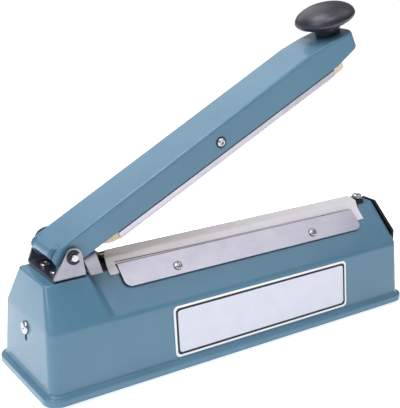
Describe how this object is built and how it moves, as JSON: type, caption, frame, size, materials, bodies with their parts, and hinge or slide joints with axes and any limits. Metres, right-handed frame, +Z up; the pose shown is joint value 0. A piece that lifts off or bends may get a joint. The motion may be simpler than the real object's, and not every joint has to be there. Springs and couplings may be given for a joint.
{
  "type": "impulse bag sealer",
  "caption": "Hand impulse sealer for plastic bags: a long painted housing with a heated ridge, and a hinged, sprung arm with a round knob that presses the bag shut.",
  "frame": {"origin": "middle of the base on the surface it stands on, halfway between the left end of the housing's lip and the face of the timer dial", "axes": "+X from the hinge towards the knob and timer end, -Y the front with the long label panel, +Z up; the arm is stored open"},
  "size_m": [0.3324, 0.0918, 0.244],
  "materials": {
    "aluminium": "satin",
    "black_knob": "gloss",
    "black_phenolic": "matte",
    "black_plastic": "satin",
    "black_rubber": "matte",
    "black_steel": "black oxide",
    "blue_paint": "smooth blue-grey enamel",
    "brass": "bare",
    "bright_steel": "bright plating",
    "circuit_board": "solder mask",
    "core_steel": "laminated, varnished",
    "cream_silicone": "matte",
    "nichrome": "bare resistance alloy",
    "plated_sheet": "bright nickel plating",
    "red_lens": "clear red",
    "red_plastic": "satin",
    "release_cloth": "coated glass cloth",
    "winding": "enamelled wire and varnish",
    "zinc_sheet": "dull zinc"
  },
  "bodies": {
    "base": {"bottom_cover": "zinc_sheet", "bracket_screw_1": "bright_steel", "bracket_screw_2": "bright_steel", "clamp_strip_back": "plated_sheet", "clamp_strip_front": "plated_sheet", "cord_inlet": "black_rubber", "core_screw_1": "bright_steel", "core_screw_2": "bright_steel", "cover_screw_1": "bright_steel", "cover_screw_2": "bright_steel", "cover_screw_3": "bright_steel", "cover_screw_4": "bright_steel", "element_tab_left": "brass", "end_screw": "bright_steel", "foot_1": "black_rubber", "foot_2": "black_rubber", "foot_3": "black_rubber", "foot_4": "black_rubber", "guard_screw_1": "bright_steel", "guard_screw_2": "bright_steel", "heating_element": "nichrome", "hinge_bracket": "plated_sheet", "hinge_pin": "bright_steel", "housing": "blue_paint", "indicator_lamp": "red_lens", "micro_switch": "black_phenolic", "panel_screw_1": "bright_steel", "panel_screw_2": "bright_steel", "pin_clip_back": "black_steel", "pin_clip_front": "black_steel", "platform": "black_phenolic", "potentiometer": "zinc_sheet", "release_cloth": "release_cloth", "return_spring": "bright_steel", "spring_guard": "plated_sheet", "strip_screw_1": "bright_steel", "strip_screw_2": "bright_steel", "strip_screw_3": "bright_steel", "strip_screw_4": "bright_steel", "switch_bracket": "zinc_sheet", "terminal_post": "black_phenolic", "terminal_screw_left": "bright_steel", "terminal_screw_right": "bright_steel", "terminal_washer": "bright_steel", "timer_board": "circuit_board", "timer_panel": "black_plastic", "transformer_coil": "winding", "transformer_core": "core_steel"},
    "arm": {"arm": "blue_paint", "knob": "black_knob", "knob_screw": "bright_steel", "pivot_rivet": "bright_steel", "pivot_bush_front": "bright_steel", "pivot_bush_back": "bright_steel"},
    "bar": {"pressure_bar": "aluminium", "silicone_strip": "cream_silicone"},
    "rod": {"push_rod": "bright_steel"},
    "timer": {"timer_dial": "black_plastic", "timer_shaft": "zinc_sheet"},
    "button": {"switch_button": "red_plastic"}
  },
  "joints": [
    {"name": "arm_hinge", "type": "hinge", "parent": "base", "child": "arm", "pos_m": [-0.13295, 0, 0.0939], "axis": [0, 1, 0], "range_deg": [0, 22.62], "stiffness_Nm_per_rad": 2.5, "springref_deg": -20.05},
    {"name": "bar_rock", "type": "hinge", "parent": "arm", "child": "bar", "pos_m": [-0.0143, 0, 0.15358], "axis": [0, 1, 0], "range_deg": [-1, 4.5]},
    {"name": "rod_slide", "type": "slide", "parent": "base", "child": "rod", "axis": [0, 0, 1], "range_m": [-0.00606, 0], "deforming": ["return_spring"]},
    {"name": "timer_turn", "type": "hinge", "parent": "base", "child": "timer", "pos_m": [0.15235, 0, 0.04052], "axis": [1, 0, 0], "range_deg": [-150, 150]},
    {"name": "switch_press", "type": "slide", "parent": "base", "child": "button", "axis": [0, 0, 1], "range_m": [-0.00075, 0]}
  ],
  "couplings": [
    {"joint": "bar_rock", "follows": "arm_hinge", "ratio": 0.16698},
    {"joint": "rod_slide", "follows": "arm_hinge", "m_per_rad": -0.01459},
    {"joint": "switch_press", "follows": "arm_hinge", "m_per_rad": -0.001773}
  ]
}
